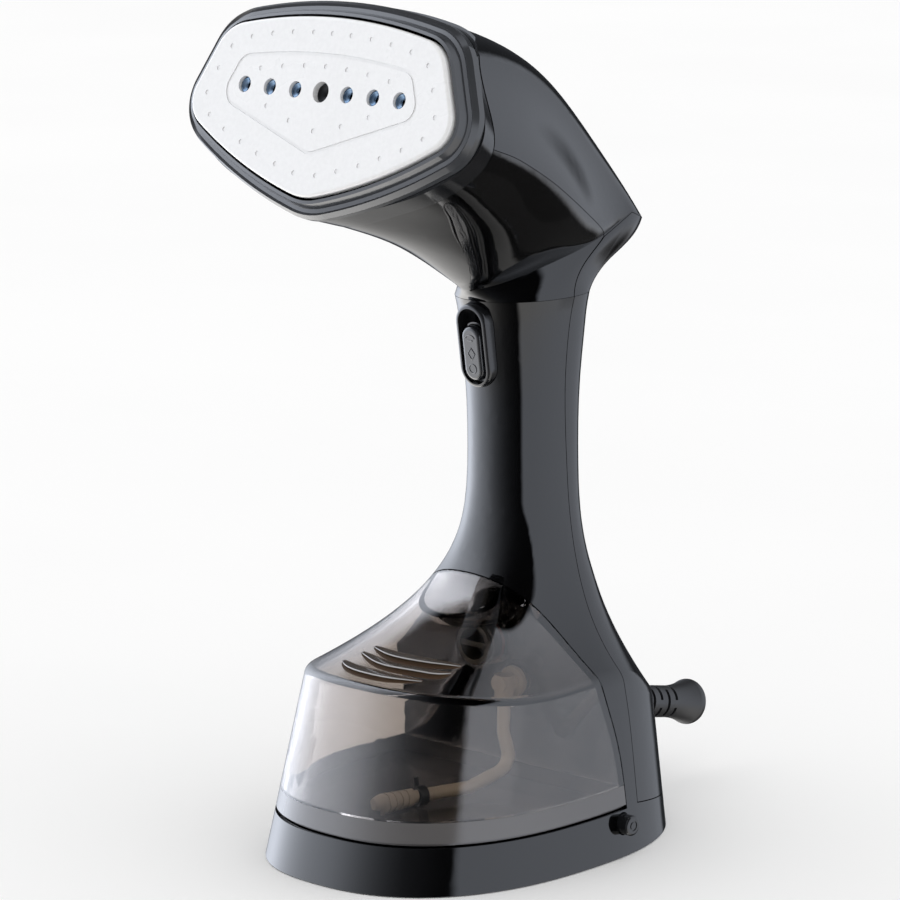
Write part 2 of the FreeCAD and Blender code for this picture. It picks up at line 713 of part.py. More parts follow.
# ---- pump and water path -----------------------------------------------------------
TANK_PORT = Vector(10, 15.6, 51)
ALONG_X = Vector(1, 0, 0)
ALONG_Y = Vector(0, 1, 0)
ALONG_Z = Vector(0, 0, 1)


def pump_body():
    c = PUMP_AXIS
    barrel = cylinder(6.0, 43, Vector(-21.5, c.y, c.z), ALONG_X)
    outlet = cylinder(3.2, 7, Vector(21, c.y, c.z), ALONG_X)
    spigot = cylinder(2.2, 15, Vector(25.5, c.y, c.z), ALONG_Z)
    inlet = cylinder(2.2, 6.5, Vector(-27.5, c.y, c.z), ALONG_X)
    return barrel.fuse([outlet, spigot, inlet])


def pump_coil():
    c = PUMP_AXIS
    core = box((-14, c.y - 11.5, c.z - 11.5), (14, c.y + 11.5, c.z + 11.5))
    core = core.makeFillet(2.0, [e for e in core.Edges if e.BoundBox.XLength > 27])
    tabs = [box((x - 2, c.y - 9, c.z + 11.4), (x + 2, c.y - 8.2, c.z + 16)) for x in (-7, 7)]
    core = core.fuse(tabs)
    return core.cut(cylinder(6.05, 50, Vector(-25, c.y, c.z), ALONG_X))


def pump_mounts():
    c = PUMP_AXIS
    return Part.Compound([ring(9.2, 6.05, 5, Vector(x - 2.5, c.y, c.z), ALONG_X)
                          for x in (-MOUNT_X, MOUNT_X)])


def inlet_hose():
    """Feed hose from the tank socket to the pump inlet."""
    start = TANK_PORT + Vector(0, 17, 0)
    points = [start, start + Vector(0, 9.5, 0), Vector(-31.5, 40, 43), Vector(-31.5, 42, 29),
              Vector(-24.5, 42, 29)]
    return tube_along(points, 3.2, 3.8, 2.25)


def tank_socket():
    """Spigot seat moulded behind the front wall that takes the tank's outlet."""
    start = TANK_PORT + Vector(0, -1.0, 0)
    outer = ring(7.0, 3.9, 9, start, ALONG_Y)
    flange = ring(7.0, 3.9, 1, start, ALONG_Y)
    rear = ring(7.0, 2.0, 3, start + Vector(0, 9, 0), ALONG_Y)
    barb = ring(2.2, 1.2, 9, start + Vector(0, 12, 0), ALONG_Y)
    socket = outer.fuse([flange, rear, barb])
    socket = socket.cut(ring(5.85, 3, 2, TANK_PORT + Vector(0, 3.9, 0), ALONG_Y))
    return largest_solid(socket.cut(tank_region(0)))


def socket_seal():
    return ring(5.8, 3.95, 1.9, TANK_PORT + Vector(0, 3.95, 0), ALONG_Y)


# ---- electrics --------------------------------------------------------------------
def terminal_block():
    block = box((-24, 32, 56), (-5, 40, 65))
    for k in range(3):
        block = block.cut(cylinder(1.8, 5, Vector(-20.5 + 6 * k, 36, 61), ALONG_Z))
    return block


def wire_loom():
    """Mains wires up the handle to the heater."""
    loom = []
    for foot, y in ((-20.5, 26), (-8.5, 32)):
        top = plate_point(-8, 8, -44)
        points = [Vector(foot, 36, 61.5), Vector(foot * 0.93, 36, 74), Vector(-7.5, y, 104),
                  Vector(-7.5, y - 1, 180),
                  Vector(-7.5, y - 14, 205), top + Vector(-2, y - 34, 0)]
        loom.append(tube_along(points, 1.2, 9.0))
    return Part.Compound(loom)


# ---- cord strain relief --------------------------------------------------------------
CLAMP_Y = 57.4
CLAMP_LOW, CLAMP_TOP = 26.3, 41.2
BOOT_WAY = Vector(0, math.cos(math.radians(BOOT_DROP)), -math.sin(math.radians(BOOT_DROP)))


def boot_point(along):
    return BOOT_ROOT + BOOT_WAY * along


def along_boot(shape):
    moved = shape.copy()
    moved.Placement = Placement(BOOT_ROOT, Rotation(Vector(0, 0, 1), BOOT_WAY)).multiply(moved.Placement)
    return moved


def cord_boot():
    """Flexible sleeve with a flange, three staggered slots and a flared end."""
    arc = Part.Arc(Vector(5.5, 0, 35), Vector(6.2, 0, 41), Vector(7.5, 0, 45.5)).toShape()
    lip = Part.Arc(Vector(7.5, 0, 45.5), Vector(7.4, 0, 48.6), Vector(5.2, 0, 50)).toShape()
    outline = [(5.2, 50), (BOOT_BORE, 50), (BOOT_BORE, -9), (8.0, -9), (8.0, -6.5), (5.7, -6.5), (5.5, 35)]
    sides = [Part.LineSegment(Vector(a[0], 0, a[1]), Vector(b[0], 0, b[1])).toShape()
             for a, b in zip(outline, outline[1:])]
    wire = Part.Wire([arc, lip] + sides)
    boot = Part.Face(wire).revolve(Vector(0, 0, 0), Vector(0, 0, 1), 360)
    slots = []
    for level, first, half_angle in ((19, 90, 76), (23, 0, 56), (27, 90, 76), (31, 0, 56), (35, 90, 76)):
        for turn in (first, first + 180):
            cutter = ring(9, 4.3, 1.3, Vector(0, 0, level - 0.6), ALONG_Z)
            for lean in (90 - half_angle, half_angle - 90):
                wedge = box((0, -20, level - 2), (20, 20, level + 2))
                wedge.rotate(Vector(0, 0, 0), ALONG_Z, turn + lean)
                cutter = cutter.common(wedge)
            slots.append(cutter)
    return along_boot(largest_solid(boot.cut(Part.Compound(slots))))


def cord_clamp():
    """Saddle that holds the boot's flange down on its post."""
    c = boot_point(-7.7)
    clamp = box((-13, c.y - 3.5, CLAMP_LOW), (13, c.y + 2.3, CLAMP_TOP)).cut(clamp_bores(1.3))
    clamp = clamp.cut(along_boot(cylinder(5.9, 60, Vector(0, 0, -40), ALONG_Z)))
    clamp = clamp.cut(along_boot(cylinder(8.3, 3.6, Vector(0, 0, -9.6), ALONG_Z)))
    return largest_solid(clamp)


def clamp_bores(radius):
    """The two screw holes through the saddle and down into its post."""
    return Part.Compound([cylinder(radius, 24, Vector(x, CLAMP_Y, CLAMP_TOP - 22), Vector(0, 0, 1))
                          for x in (-10.8, 10.8)])


def clamp_screws():
    down = Vector(0, 0, -1)
    return Part.Compound([screw(Vector(x, CLAMP_Y, CLAMP_TOP + 1.8), down, 2.2, 1.7, 1.2, 20)
                          for x in (-10.8, 10.8)])


# ---- release buttons -----------------------------------------------------------------
BUTTON_Y, BUTTON_Z, BUTTON_RADIUS = 19.4, 9.9, 3.35
FLANGE_REACH = 4.9
BUTTON_FACE_X = 55.2


def release_bore(side):
    start = Vector(side * 40, BUTTON_Y, BUTTON_Z)
    return cylinder(BUTTON_RADIUS + CLEAR, 20, start, Vector(side, 0, 0))


def release_button(side):
    """Sprung button with a retaining flange inside the ring and a hollow stem."""
    way = Vector(side, 0, 0)
    face = Vector(side * BUTTON_FACE_X, BUTTON_Y, BUTTON_Z)
    stem = cylinder(BUTTON_RADIUS, 9.4, face - way * 9.4, way)
    stem = fillet_safe(stem, 0.8, [e for e in stem.Edges if abs(e.BoundBox.XMin - face.x) < 0.01])
    back = face - way * 9.4
    flange = box((min(back.x, back.x + side * 1.2), back.y - FLANGE_REACH, back.z - 3.1),
                 (max(back.x, back.x + side * 1.2), back.y + FLANGE_REACH, back.z + 1.4))
    button = stem.fuse(flange)
    button = button.cut(cylinder(2.3, 6.0, face - way * 9.5, way))
    mark = ring(1.7, 1.2, 1, face - way * 0.25, way)
    return button.cut(mark)


def release_spring(side):
    """Coil spring between the base plate's post and the button."""
    way = Vector(side, 0, 0)
    helix = Part.makeHelix(1.5, 12.9, 1.6)
    circle = Part.Wire(Part.Circle(Vector(1.6, 0, 0), Vector(0, 1, 0), 0.3).toShape())
    spring = Part.Wire(helix).makePipeShell([circle], True, True)
    spring.Placement = Placement(Vector(side * 37.85, BUTTON_Y, BUTTON_Z), Rotation(Vector(0, 0, 1), way))
    return spring


# ---- thumb switch on the handle -------------------------------------------------------
SWITCH_Z = 163.3


def switch_frame():
    front = flare_extents(SWITCH_Z)[1]
    slope = (flare_extents(SWITCH_Z + 1)[1] - flare_extents(SWITCH_Z - 1)[1]) / 2
    tilt = math.degrees(math.atan(-slope))
    return Placement(Vector(0, front, SWITCH_Z), Rotation(Vector(1, 0, 0), 90 + tilt))


def place_on_switch(shape):
    moved = shape.copy()
    moved.Placement = switch_frame().multiply(moved.Placement)
    return moved


def switch_prism(half_width, half_length, low, high, centre=0.0):
    """Pill-shaped prism: a slot with round ends."""
    straight = half_length - half_width
    middle = box((-half_width, centre - straight, low), (half_width, centre + straight, high))
    ends = [Part.makeCylinder(half_width, high - low, Vector(0, centre + s * straight, low))
            for s in (-1, 1)]
    return middle.fuse(ends).removeSplitter()


PILL_CENTRE = -2.3


def switch_bezel():
    frame = switch_prism(6.6, 14.0, -4.0, 2.6)
    frame = fillet_safe(frame, 1.2, [e for e in frame.Edges if e.BoundBox.ZMin > 2.55])
    frame = frame.cut(switch_prism(5.15, 12.7, -2.6, 5))
    return place_on_switch(frame.cut(box((-2.2, -9.0, -5), (2.2, 9.5, 0))))


def switch_carriage():
    """Sliding tray that carries the steam button."""
    tray = switch_prism(4.8, 10.0, -2.3, 0.4, PILL_CENTRE)
    tray = tray.cut(switch_prism(4.3, 9.5, -1.5, 5, PILL_CENTRE))
    peg = box((-1.8, PILL_CENTRE - 4, -5.4), (1.8, PILL_CENTRE + 4, -2.2))
    return place_on_switch(tray.fuse(peg))


def steam_button():
    pill = switch_prism(3.95, 9.15, 0.35, 3.2, PILL_CENTRE)
    pill = fillet_safe(pill, 1.3, [e for e in pill.Edges if e.BoundBox.ZMin > 3.15])
    pill = pill.cut(cylinder(2.2, 2.0, Vector(0, PILL_CENTRE, 0.3), ALONG_Z))
    return place_on_switch(pill)


def button_spring():
    """Folded leaf spring between the tray and the steam button."""
    leaf = ((-1.6, -1.45), (1.6, -1.45), (1.6, -1.1), (-1.0, 1.9), (1.6, 1.9), (1.6, 2.2),
            (-1.6, 2.2), (-1.6, 1.85), (1.0, -1.15), (-1.6, -1.15))
    points = [Vector(-1.2, PILL_CENTRE + along, out) for along, out in leaf]
    face = Part.Face(Part.makePolygon(points + points[:1]))
    return place_on_switch(face.extrude(Vector(2.4, 0, 0)))


def slide_switch():
    body = box((-5, -11, -14), (5, 9, -6.2))
    body = body.cut(box((-2.6, -9.0, -6.8), (2.6, 9.5, -6)))
    pins = [box((-0.4, y - 1.2, -18), (0.4, y + 1.2, -13.9)) for y in (-7, 0, 6)]
    return place_on_switch(body.fuse(pins))


# ---- water tank ----------------------------------------------------------------------
CAP_CENTRE = Vector(3.0, 9.0, 64.5)


def tank_form(outer):
    return outer.common(tank_region(CLEAR))


def tank_void(inner):
    low = PLATFORM_Z + CLEAR + TANK_WALL
    return inner.common(ahead_of_tank_line(-2.2, -1.6, low))


def nose_pocket(grow, inset, drop):
    return nose_body(grow).common(flare_solid(inset, drop))


def tank_shell(outer, inner):
    """Clear upper moulding, with the pocket for the handle's nose and the filler neck."""
    hollow = tank_void(inner).cut(nose_body(2.0))
    shell = tank_form(outer).cut(hollow)
    shell = shell.cut(nose_pocket(CLEAR, 0.3, 2.6))
    shell = shell.common(box((-FAR, -FAR, TANK_BAND_Z), (FAR, FAR, 200)))
    neck = cylinder(8.6, 12, CAP_CENTRE - ALONG_Y * 9, ALONG_Y).common(tank_form(outer))
    shell = shell.fuse(neck)
    shell = shell.cut(cylinder(7.4, 30, CAP_CENTRE - ALONG_Y * 12, ALONG_Y))
    shell = shell.cut(cylinder(3.45, 16, TANK_PORT - ALONG_Y * 8, ALONG_Y))
    return largest_solid(shell)


def tank_base(outer, inner):
    tray = tank_form(outer).cut(tank_void(inner))
    tray = tray.common(box((-FAR, -FAR, 0), (FAR, FAR, TANK_BAND_Z - 0.05)))
    foot = PLATFORM_Z + CLEAR
    skirt = Part.Wire(oval(foot + 1, skirt_extents(foot + 1), 2.4, -5).toShape())
    core = Part.Wire(oval(foot + 1, skirt_extents(foot + 1), 2.4, 1.3).toShape())
    rebate = Part.Face(skirt).extrude(Vector(0, 0, -3)).cut(Part.Face(core).extrude(Vector(0, 0, -3)))
    return largest_solid(tray.cut(rebate))


def filler_cap():
    """Quarter-turn plug with a grip bar, let into the tank's rear wall."""
    plug = cylinder(7.0, 9.0, CAP_CENTRE - ALONG_Y * 10.0, ALONG_Y)
    plug = plug.cut(cylinder(5.4, 7.0, CAP_CENTRE - ALONG_Y * 10.1, ALONG_Y))
    bar = box((CAP_CENTRE.x - 5.2, CAP_CENTRE.y - 9.9, CAP_CENTRE.z - 0.9),
              (CAP_CENTRE.x + 5.2, CAP_CENTRE.y - 2.5, CAP_CENTRE.z + 0.9))
    return plug.fuse(bar)


def filler_seal():
    return ring(7.25, 7.02, 1.2, CAP_CENTRE - ALONG_Y * 4.5, ALONG_Y)


def tank_outlet():
    """Spigot through the tank's rear wall into the housing's socket."""
    start = TANK_PORT - ALONG_Y * 5.5
    flange = cylinder(5.0, 1.6, start - ALONG_Y * 0.2, ALONG_Y)
    nozzle = cylinder(3.4, 10.5, start, ALONG_Y)
    return flange.fuse(nozzle).cut(cylinder(1.6, 14, start - ALONG_Y, ALONG_Y))


def hose_fitting():
    """Elbow from the spigot down to the suction hose."""
    corner = TANK_PORT - ALONG_Y * 9.2
    across = cylinder(3.0, 6.4, corner - ALONG_Y * 3.0, ALONG_Y)
    down = cylinder(3.2, 9, corner + Vector(0, 0, 2.8) - ALONG_Z * 9, ALONG_Z)
    stub = cylinder(1.5, 4.5, corner - ALONG_Z * 10.6, ALONG_Z)
    return across.fuse([down, stub])


HOSE_END = Vector(4.2, -31.5, 20.4)


def suction_hose():
    """Silicone hose from the elbow to the weight on the tank floor."""
    top = TANK_PORT + Vector(0, -9.2, -6.3)
    points = [top, top - ALONG_Z * 9, Vector(12, 8, 24.6), Vector(10, -10, 20.5), HOSE_END]
    return tube_along(points, 2.1, 6.0, 1.52)


def hose_run():
    return (HOSE_END - Vector(10, -10, 20.5)).normalize()


def hose_clip():
    way = hose_run()
    clip = ring(3.2, 2.12, 3.0, HOSE_END - way * 5.0, way)
    side = way.cross(ALONG_Z).normalize()
    ear = cylinder(0.9, 4.0, HOSE_END - way * 3.5 + side * 2.6 + ALONG_Z * 1.6, ALONG_Z)
    return clip.fuse(ear)


def filter_weight():
    """Weighted strainer on the free end of the hose."""
    way = hose_run()
    start = HOSE_END + way * 0.1
    body = cylinder(2.9, 10.5, start, way)
    tail = Part.makeCone(2.9, 1.9, 3.0, start + way * 10.5, way)
    weight = body.fuse(tail)
    bands = [ring(3.5, 2.45, 0.8, start + way * (2.4 + 2.2 * k), way) for k in range(4)]
    return weight.cut(Part.Compound(bands))


def build():
    sharp = body_form(0, 0, 0.25 - DATUM_Z)
    outer = rounded_shoulder(sharp, HOUSING_SHOULDER)
    tank_outer = rounded_shoulder(sharp, TANK_SHOULDER)
    inner = body_form(WALL, WALL, -2)
    tank_inner = body_form(TANK_WALL, TANK_WALL, -2)
    cover, neck, tail = head_parts(head_form(0), head_form(WALL))
    makers = {
        "front_housing": lambda: front_housing(outer, inner),
        "rear_housing": lambda: rear_housing(outer, inner),
        "upper_cover": lambda: cover,
        "neck_shell": lambda: neck,
        "tail_shell": lambda: tail,
        "collar": collar,
        "bezel": bezel,
        "steam_plate": steam_plate,
        "plate_gasket": plate_gasket,
        "steam_chamber": steam_chamber,
        "chamber_screws": chamber_screws,
        "heating_element": heating_element,
        "element_terminals": element_terminals,
        "thermostat": thermostat,
        "thermal_fuse": thermal_fuse,
        "chamber_inlet": chamber_inlet,
        "steam_hose": steam_hose,
        "base_plate": base_plate,
        "base_pad": base_pad,
        "base_screws": base_screws,
        "pump_body": pump_body,
        "pump_coil": pump_coil,
        "pump_mounts": pump_mounts,
        "inlet_hose": inlet_hose,
        "tank_socket": tank_socket,
        "socket_seal": socket_seal,
        "terminal_block": terminal_block,
        "wire_loom": wire_loom,
        "cord_boot": cord_boot,
        "cord_clamp": cord_clamp,
        "clamp_screws": clamp_screws,
        "release_button_left": lambda: release_button(-1),
        "release_button_right": lambda: release_button(1),
        "release_spring_left": lambda: release_spring(-1),
        "release_spring_right": lambda: release_spring(1),
        "switch_bezel": switch_bezel,
        "switch_carriage": switch_carriage,
        "steam_button": steam_button,
        "button_spring": button_spring,
        "slide_switch": slide_switch,
        "tank_shell": lambda: tank_shell(tank_outer, tank_inner),
        "tank_base": lambda: tank_base(tank_outer, tank_inner),
        "filler_cap": filler_cap,
        "filler_seal": filler_seal,
        "tank_outlet": tank_outlet,
        "hose_fitting": hose_fitting,
        "suction_hose": suction_hose,
        "hose_clip": hose_clip,
        "filter_weight": filter_weight,
    }
    for name, make in makers.items():
        shape = make()
        save(name, shape)
        print(name, shape.isValid(), len(shape.Solids), round(shape.Volume), flush=True)


build()
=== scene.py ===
import json
import math

import bmesh
import bpy
from mathutils import Matrix, Vector
from mathutils.bvhtree import BVHTree


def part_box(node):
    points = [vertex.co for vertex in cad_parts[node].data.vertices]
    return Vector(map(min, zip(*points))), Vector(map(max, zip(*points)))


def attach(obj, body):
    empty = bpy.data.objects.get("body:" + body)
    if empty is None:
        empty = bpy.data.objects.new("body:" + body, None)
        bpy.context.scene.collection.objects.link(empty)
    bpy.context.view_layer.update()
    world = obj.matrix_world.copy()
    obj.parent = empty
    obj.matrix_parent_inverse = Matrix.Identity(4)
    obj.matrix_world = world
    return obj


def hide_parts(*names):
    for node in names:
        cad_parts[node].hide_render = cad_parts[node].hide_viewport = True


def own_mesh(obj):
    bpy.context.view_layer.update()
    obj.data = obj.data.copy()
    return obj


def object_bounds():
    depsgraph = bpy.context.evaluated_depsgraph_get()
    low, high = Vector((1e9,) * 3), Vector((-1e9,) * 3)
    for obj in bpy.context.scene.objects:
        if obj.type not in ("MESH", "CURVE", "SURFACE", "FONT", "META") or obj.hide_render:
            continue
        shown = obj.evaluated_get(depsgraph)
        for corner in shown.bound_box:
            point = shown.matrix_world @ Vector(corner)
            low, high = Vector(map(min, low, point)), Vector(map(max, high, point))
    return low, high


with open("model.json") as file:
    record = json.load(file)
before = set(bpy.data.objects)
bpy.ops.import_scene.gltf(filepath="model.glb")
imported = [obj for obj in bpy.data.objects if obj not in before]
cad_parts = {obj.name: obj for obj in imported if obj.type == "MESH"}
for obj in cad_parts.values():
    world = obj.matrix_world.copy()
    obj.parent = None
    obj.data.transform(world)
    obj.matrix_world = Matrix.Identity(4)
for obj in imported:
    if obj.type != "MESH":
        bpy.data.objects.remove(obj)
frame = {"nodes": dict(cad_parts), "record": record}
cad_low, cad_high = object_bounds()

NODES = frame["nodes"]
MM = 0.001

# Camera: a long lens a little above the head, turned towards the steamer's right side.
VIEW_AZIMUTH = math.radians(42.8)
VIEW_ELEVATION = math.radians(11.3)
CAMERA_PLACE = Vector((0.93067, -1.01344, 0.40516))
LENS = 173.6

# The tilted frame of the steam plate: across, up the plate and out of it.
PLATE_TILT = math.radians(17.0)
PLATE_UP = Vector((0, math.sin(PLATE_TILT), math.cos(PLATE_TILT)))
PLATE_OUT = Vector((0, -math.cos(PLATE_TILT), math.sin(PLATE_TILT)))
HOLE_PITCH = 11.06 * MM

# The tilted frame of the thumb switch on the front of the handle.
SWITCH_TILT = math.radians(8.497)
SWITCH_UP = Vector((0, -math.sin(SWITCH_TILT), math.cos(SWITCH_TILT)))
SWITCH_OUT = Vector((0, -math.cos(SWITCH_TILT), -math.sin(SWITCH_TILT)))


# ---- node helpers -------------------------------------------------------------------
def new_material(name):
    """A node material, with its tree and its Principled shader."""
    material = bpy.data.materials.new(name)
    material.use_nodes = True
    tree = material.node_tree
    shader = tree.nodes["Principled BSDF"]
    return material, tree, shader


def object_noise(tree, scale, detail=3.0, stretch=(1, 1, 1)):
    """Noise fixed to the piece, in its own coordinates."""
    place = tree.nodes.new("ShaderNodeTexCoord")
    mapping = tree.nodes.new("ShaderNodeMapping")
    mapping.inputs["Scale"].default_value = stretch
    noise = tree.nodes.new("ShaderNodeTexNoise")
    noise.inputs["Scale"].default_value = scale
    noise.inputs["Detail"].default_value = detail
    tree.links.new(place.outputs["Object"], mapping.inputs["Vector"])
    tree.links.new(mapping.outputs["Vector"], noise.inputs["Vector"])
    return noise.outputs["Fac"]


def spread(tree, source, low, high, start=0.3, stop=0.7):
    """The noise stretched to run from low to high."""
    node = tree.nodes.new("ShaderNodeMapRange")
    for key, value in (("From Min", start), ("From Max", stop), ("To Min", low), ("To Max", high)):
        node.inputs[key].default_value = value
    tree.links.new(source, node.inputs["Value"])
    return node.outputs["Result"]


def two_colours(tree, source, first, second, start=0.35, stop=0.65):
    ramp = tree.nodes.new("ShaderNodeValToRGB")
    ramp.color_ramp.elements[0].position = start
    ramp.color_ramp.elements[1].position = stop
    ramp.color_ramp.elements[0].color = (*first, 1)
    ramp.color_ramp.elements[1].color = (*second, 1)
    tree.links.new(source, ramp.inputs["Fac"])
    return ramp.outputs["Color"]


def bump(tree, shader, source, strength, distance):
    node = tree.nodes.new("ShaderNodeBump")
    node.inputs["Strength"].default_value = strength
    node.inputs["Distance"].default_value = distance
    tree.links.new(source, node.inputs["Height"])
    tree.links.new(node.outputs["Normal"], shader.inputs["Normal"])


def moulded(name, first, second, rough, specular=0.5, grain=900, grain_depth=0.00002,
            grain_strength=0.02):
    """Moulded plastic: faint colour drift, uneven polish and a fine surface grain."""
    material, tree, shader = new_material(name)
    shader.inputs["Specular IOR Level"].default_value = specular
    drift = object_noise(tree, 18)
    tree.links.new(two_colours(tree, drift, first, second), shader.inputs["Base Color"])
    haze = object_noise(tree, 72, 5)
    tree.links.new(spread(tree, haze, rough[0], rough[1]), shader.inputs["Roughness"])
    bump(tree, shader, object_noise(tree, grain, 2), grain_strength, grain_depth)
    return material


def metal(name, first, second, rough, stretch=(1, 1, 1), scale=400):
    """Bare metal with fine machining or casting marks."""
    material, tree, shader = new_material(name)
    shader.inputs["Metallic"].default_value = 1.0
    marks = object_noise(tree, scale, 4, stretch)
    tree.links.new(two_colours(tree, marks, first, second), shader.inputs["Base Color"])
    tree.links.new(spread(tree, marks, rough[0], rough[1]), shader.inputs["Roughness"])
    bump(tree, shader, marks, 0.15, 0.00005)
    return material


def clear(name, first, second, rough, transmission):
    """Smoky see-through moulding with faint flow marks."""
    material, tree, shader = new_material(name)
    shader.inputs["Transmission Weight"].default_value = transmission
    shader.inputs["IOR"].default_value = CLEAR_IOR
    drift = object_noise(tree, 14, 2)
    tree.links.new(two_colours(tree, drift, first, second), shader.inputs["Base Color"])
    haze = object_noise(tree, 60, 4)
    tree.links.new(spread(tree, haze, rough[0], rough[1]), shader.inputs["Roughness"])
    return material


def ceramic(name):
    """White glazed coating: even, slightly speckled, with a soft shine."""
    material, tree, shader = new_material(name)
    shader.inputs["Coat Weight"].default_value = 0.3
    shader.inputs["Coat Roughness"].default_value = 0.12
    speck = object_noise(tree, 700, 6)
    tree.links.new(two_colours(tree, speck, (0.74, 0.74, 0.742), (0.77, 0.77, 0.772)),
                   shader.inputs["Base Color"])
    haze = object_noise(tree, 40, 4)
    tree.links.new(spread(tree, haze, 0.25, 0.38), shader.inputs["Roughness"])
    bump(tree, shader, object_noise(tree, 2500, 3), 0.01, 0.00001)
    return material


CLEAR_IOR = 1.58
BLACK = ((0.0012, 0.0012, 0.0014), (0.0020, 0.0020, 0.0023))
GREY_BLACK = ((0.008, 0.0085, 0.0095), (0.011, 0.0115, 0.013))
BEZEL_GREY = ((0.036, 0.038, 0.042), (0.044, 0.046, 0.051))


def make_materials():
    return {
        "shell_black": moulded("shell_black", *BLACK, (0.035, 0.075)),
        "collar_black": moulded("collar_black", *GREY_BLACK, (0.08, 0.14)),
        "bezel_black": moulded("bezel_black", *BEZEL_GREY, (0.12, 0.2)),
        "plate_white": ceramic("plate_white"),
        "tank_clear": clear("tank_clear", (0.58, 0.53, 0.49), (0.62, 0.57, 0.53), (0.02, 0.03), 1.0),
        "tank_band": clear("tank_band", (0.085, 0.08, 0.08), (0.105, 0.10, 0.10), (0.1, 0.16), 0.1),
        "cap_olive": moulded("cap_olive", (0.06, 0.048, 0.034), (0.085, 0.07, 0.05), (0.3, 0.42), 0.5,
                             grain=1800, grain_strength=0.12),
        "fitting_beige": moulded("fitting_beige", (0.60, 0.53, 0.43), (0.70, 0.62, 0.52), (0.35, 0.5),
                                 0.5, grain=1500, grain_strength=0.06),
        "hose_silicone": moulded("hose_silicone", (0.66, 0.58, 0.46), (0.76, 0.68, 0.56), (0.3, 0.42),
                                 0.5, grain=600, grain_strength=0.05),
        "clip_black": moulded("clip_black", *BLACK, (0.3, 0.45), 0.5),
        "boot_rubber": moulded("boot_rubber", (0.010, 0.010, 0.011), (0.015, 0.015, 0.017),
                               (0.42, 0.56), 0.6, grain=2500, grain_strength=0.25,
                               grain_depth=0.00006),
        "button_black": moulded("button_black", *GREY_BLACK, (0.10, 0.18)),
        "switch_grey": moulded("switch_grey", (0.010, 0.011, 0.013), (0.014, 0.015, 0.018),
                               (0.14, 0.24), 0.7, grain=1800, grain_strength=0.05),
        "pad_rubber": moulded("pad_rubber", (0.02, 0.02, 0.02), (0.032, 0.032, 0.032), (0.65, 0.8),
                              0.4, grain=1600, grain_strength=0.3, grain_depth=0.0001),
        "base_plastic": moulded("base_plastic", (0.012, 0.012, 0.012), (0.02, 0.02, 0.021),
                                (0.4, 0.55), 0.5, grain=1800, grain_strength=0.2),
        "steel": metal("steel", (0.50, 0.50, 0.52), (0.66, 0.66, 0.68), (0.22, 0.38), (1, 1, 8)),
        "cast_alloy": metal("cast_alloy", (0.56, 0.56, 0.58), (0.7, 0.7, 0.72), (0.4, 0.6), scale=900),
        "brass_part": metal("brass_part", (0.68, 0.5, 0.22), (0.8, 0.62, 0.32), (0.25, 0.4)),
        "gasket_red": moulded("gasket_red", (0.42, 0.12, 0.08), (0.5, 0.16, 0.1), (0.5, 0.62), 0.4),
        "coil_body": moulded("coil_body", (0.05, 0.05, 0.055), (0.08, 0.08, 0.085), (0.45, 0.6), 0.5,
                             grain=1500, grain_strength=0.15),
        "block_white": moulded("block_white", (0.74, 0.73, 0.69), (0.82, 0.81, 0.77), (0.4, 0.55), 0.5),
        "nozzle_blue": metal("nozzle_blue", (0.10, 0.16, 0.24), (0.22, 0.30, 0.40), (0.2, 0.35)),
        "tank_louvre": clear("tank_louvre", (0.58, 0.53, 0.49), (0.64, 0.59, 0.55), (0.02, 0.06), 0.9),
        # painted shade: dark brown for the shadow in the gap under each louvre blade
        "louvre_painted_shade": moulded("louvre_painted_shade", (0.05, 0.028, 0.014), (0.085, 0.05, 0.028),
                                (0.5, 0.65), 0.2),
        # painted highlight: light grey for the glint on each louvre blade's rounded front edge
        "louvre_edge_painted_highlight": moulded("louvre_edge_painted_highlight", (0.34, 0.33, 0.33), (0.46, 0.45, 0.45), (0.08, 0.16), 0.5),
        "wire_cover": moulded("wire_cover", (0.3, 0.05, 0.04), (0.38, 0.08, 0.06), (0.4, 0.52), 0.5),
    }


MATERIALS = make_materials()


def dress_nodes():
    """Gives every CAD node its finish."""
    for part in frame["record"]["subparts"]:
        node = NODES[part["node"]]
        finish = MATERIALS[part["material_slot"]]
        if not node.material_slots:
            node.data.materials.append(finish)
        for slot in node.material_slots:
            slot.material = finish


dress_nodes()


# ---- piece helpers -----------------------------------------------------------------
def mesh_piece(name, mesh_data, body, slot_name, smooth=True, finish=None):
    """A new piece on a body. Its material is the slot's own, or the one that finish names."""
    piece = bpy.data.objects.new(name, mesh_data)
    bpy.context.scene.collection.objects.link(piece)
    mesh_data.materials.append(MATERIALS[finish or slot_name])
    for face in mesh_data.polygons:
        face.use_smooth = smooth
    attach(piece, body)
    return piece


def mesh_from(name, vertices, faces):
    mesh_data = bpy.data.meshes.new(name)
    mesh_data.from_pydata([tuple(v) for v in vertices], [], faces)
    mesh_data.update()
    work = bmesh.new()
    work.from_mesh(mesh_data)
    bmesh.ops.recalc_face_normals(work, faces=work.faces)
    work.to_mesh(mesh_data)
    work.free()
    return mesh_data


def strip_solid(name, sections):
    """A closed solid through equal rings of points, with flat ends."""
    count = len(sections[0])
    vertices = [p for ring in sections for p in ring]
    faces = []
    for k in range(len(sections) - 1):
        for i in range(count):
            j = (i + 1) % count
            faces.append((k * count + i, k * count + j, (k + 1) * count + j, (k + 1) * count + i))
    faces.append(tuple(range(count))[::-1])
    last = (len(sections) - 1) * count
    faces.append(tuple(last + i for i in range(count)))
    return mesh_from(name, vertices, faces)


